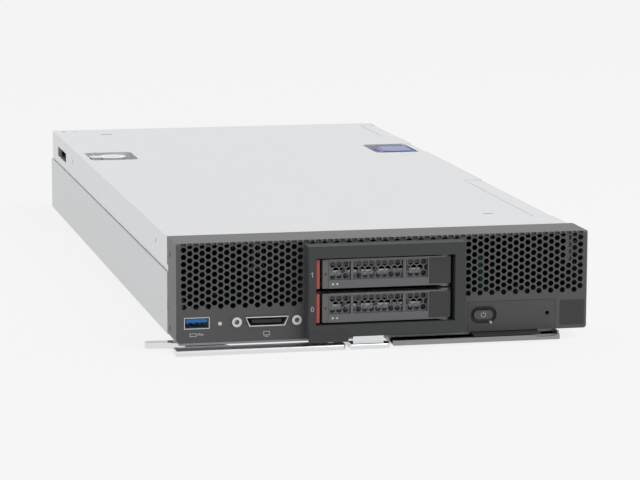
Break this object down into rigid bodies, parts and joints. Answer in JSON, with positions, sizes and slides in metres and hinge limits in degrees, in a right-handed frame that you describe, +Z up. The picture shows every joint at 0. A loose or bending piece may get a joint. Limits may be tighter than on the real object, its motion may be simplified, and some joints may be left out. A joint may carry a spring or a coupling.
{
  "type": "blade server",
  "caption": "Half-width blade server with a perforated front, hot-swap drive trays with swing levers, a sliding cover and a cam handle.",
  "frame": {"origin": "on the rest plane under the middle of the body", "axes": "+Y from the front towards the rear connectors, +Z up, +X to the right seen from the front"},
  "size_m": [0.2308, 0.493, 0.056],
  "materials": {
    "zinc_sheet": "zinc-plated sheet steel, satin",
    "cover_sheet": "pre-coated light grey sheet steel, satin",
    "bezel_paint": "fine-textured dark grey powder coat",
    "frame_plastic": "dark grey moulded plastic, satin",
    "panel_plastic": "dark grey moulded plastic",
    "button_plastic": "grey moulded plastic",
    "light_guide": "translucent light guide",
    "socket_steel": "plated connector shell",
    "blue_insulator": "blue connector insulator",
    "black_insulator": "black connector insulator",
    "jack_steel": "bright nickel-plated",
    "polished_steel": "polished stainless steel",
    "circuit_board": "solder-masked circuit board",
    "component_black": "black components",
    "standoff_brass": "turned brass",
    "sink_aluminium": "extruded aluminium",
    "processor_lid": "nickel-plated lid",
    "screw_steel": "dark plated screws",
    "disk_case": "cast aluminium case",
    "tray_metal": "dark plated steel and plastic tray",
    "strip_red": "terracotta red touch strip",
    "latch_blue": "blue moulded plastic",
    "battery_steel": "coin cell",
    "baffle_plastic": "black baffle plastic"
  },
  "bodies": {
    "chassis": {"base_pan": "zinc_sheet", "front_bezel": "bezel_paint", "drive_frame": "frame_plastic", "frame_badge": "component_black", "control_panel": "panel_plastic", "panel_light": "light_guide", "usb_shell": "socket_steel", "usb_tongue": "blue_insulator", "front_light": "light_guide", "console_shell": "socket_steel", "console_core": "black_insulator", "console_jackscrews": "jack_steel", "handle_frame": "frame_plastic", "handle_pivot_pin": "polished_steel", "drive_cage": "zinc_sheet", "drive_backplane": "circuit_board", "front_io_board": "circuit_board", "power_switch": "component_black", "system_board": "circuit_board", "board_standoffs": "standoff_brass", "processor_sockets": "component_black", "processors": "processor_lid", "heatsink_front": "sink_aluminium", "heatsink_rear": "sink_aluminium", "heatsink_screws": "screw_steel", "memory_sockets": "component_black", "memory_modules": "circuit_board", "air_baffle_left": "baffle_plastic", "air_baffle_right": "baffle_plastic", "voltage_coils": "component_black", "boot_module": "circuit_board", "clock_battery": "battery_steel", "network_adapters": "circuit_board", "fabric_connectors": "black_insulator", "power_connector": "black_insulator", "rear_panel": "zinc_sheet", "rear_guides": "polished_steel", "bezel_screws": "screw_steel"},
    "handle": {"front_handle": "polished_steel"},
    "handle_latch": {"handle_latch": "polished_steel"},
    "label_tab": {"pull_out_tab": "frame_plastic"},
    "power_button": {"power_button": "button_plastic"},
    "cover": {"top_cover": "cover_sheet", "cover_grip_cup": "polished_steel"},
    "cover_latch": {"cover_release_latch": "latch_blue"},
    "drive_0": {"drive_0_tray": "tray_metal", "drive_0_disk": "disk_case", "drive_0_light_pipes": "light_guide", "drive_0_strip": "strip_red", "drive_0_lever_pin": "polished_steel"},
    "drive_0_lever": {"drive_0_lever": "frame_plastic"},
    "drive_0_latch": {"drive_0_latch": "frame_plastic"},
    "drive_1": {"drive_1_tray": "tray_metal", "drive_1_disk": "disk_case", "drive_1_light_pipes": "light_guide", "drive_1_strip": "strip_red", "drive_1_lever_pin": "polished_steel"},
    "drive_1_lever": {"drive_1_lever": "frame_plastic"},
    "drive_1_latch": {"drive_1_latch": "frame_plastic"}
  },
  "joints": [
    {"name": "cover_slide", "type": "slide", "parent": "chassis", "child": "cover", "axis": [0, 1, 0], "range_m": [0, 0.014]},
    {"name": "cover_latch_press", "type": "slide", "parent": "cover", "child": "cover_latch", "axis": [0, 0, -1], "range_m": [0, 0.0013], "stiffness_N_per_m": 600, "springref_m": -0.001},
    {"name": "handle_swing", "type": "hinge", "parent": "chassis", "child": "handle", "pos_m": [-0.0955, -0.226, 0.0021], "axis": [0, 0, -1], "range_deg": [0, 80]},
    {"name": "handle_latch_slide", "type": "slide", "parent": "handle", "child": "handle_latch", "axis": [-1, 0, 0], "range_m": [0, 0.0025], "stiffness_N_per_m": 500, "springref_m": -0.001},
    {"name": "label_tab_slide", "type": "slide", "parent": "chassis", "child": "label_tab", "axis": [0, -1, 0], "range_m": [0, 0.038]},
    {"name": "power_button_press", "type": "slide", "parent": "chassis", "child": "power_button", "axis": [0, 1, 0], "range_m": [0, 0.0008], "stiffness_N_per_m": 800, "springref_m": -0.0005},
    {"name": "drive_0_slide", "type": "slide", "parent": "chassis", "child": "drive_0", "axis": [0, -1, 0], "range_m": [0, 0.11]},
    {"name": "drive_0_lever_swing", "type": "hinge", "parent": "drive_0", "child": "drive_0_lever", "pos_m": [0.02945, -0.2405, 0.022], "axis": [0, 0, 1], "range_deg": [0, 60]},
    {"name": "drive_0_latch_slide", "type": "slide", "parent": "drive_0", "child": "drive_0_latch", "axis": [-1, 0, 0], "range_m": [0, 0.0013], "stiffness_N_per_m": 400, "springref_m": -0.0005},
    {"name": "drive_1_slide", "type": "slide", "parent": "chassis", "child": "drive_1", "axis": [0, -1, 0], "range_m": [0, 0.11]},
    {"name": "drive_1_lever_swing", "type": "hinge", "parent": "drive_1", "child": "drive_1_lever", "pos_m": [0.02945, -0.2405, 0.0396], "axis": [0, 0, 1], "range_deg": [0, 60]},
    {"name": "drive_1_latch_slide", "type": "slide", "parent": "drive_1", "child": "drive_1_latch", "axis": [-1, 0, 0], "range_m": [0, 0.0013], "stiffness_N_per_m": 400, "springref_m": -0.0005}
  ]
}
